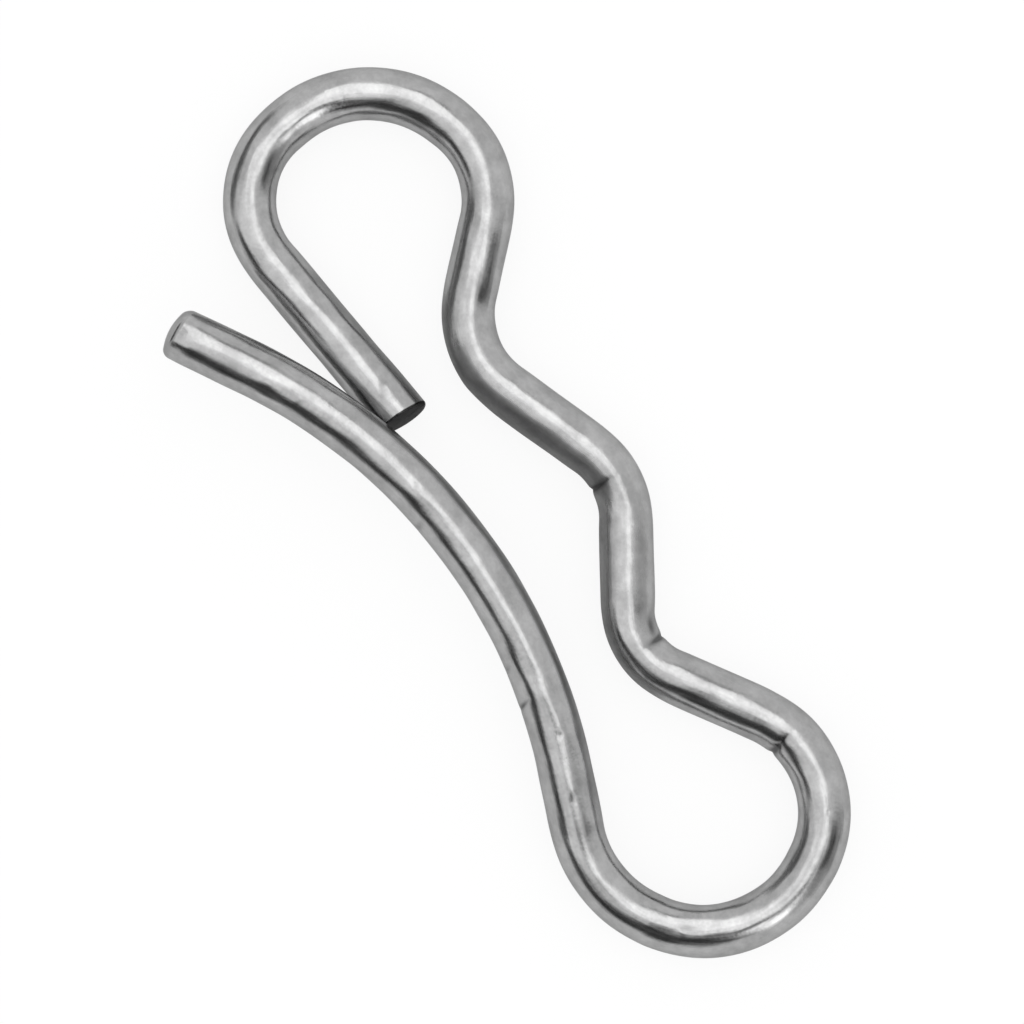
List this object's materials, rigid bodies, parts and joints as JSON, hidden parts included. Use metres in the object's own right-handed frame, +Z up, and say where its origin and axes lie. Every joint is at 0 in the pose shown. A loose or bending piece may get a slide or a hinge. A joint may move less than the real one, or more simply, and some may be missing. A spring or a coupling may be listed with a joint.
{
  "type": "bow-tie locking cotter pin",
  "caption": "Spring wire retaining clip: one round wire bent into two loops, a waved leg that grips a shaft and a bowed leg that passes through its cross hole.",
  "frame": {"origin": "middle of the outline's foot: the centre of the bounding box in plan, on the flat that the clip lies on", "axes": "+X along the line through the two loops' middles, from the closed bow to the tail loop and the open mouth, which is the way the clip is pushed on; +Z up, square to the plane of the loops; +Y to the side of the bowed free leg"},
  "size_m": [0.0358, 0.0145, 0.0035],
  "materials": {
    "zinc_wire": "bright zinc plate over drawn spring wire, with fine lengthwise drawing lines"
  },
  "bodies": {
    "root": {"wire_clip": "zinc_wire"}
  },
  "joints": []
}
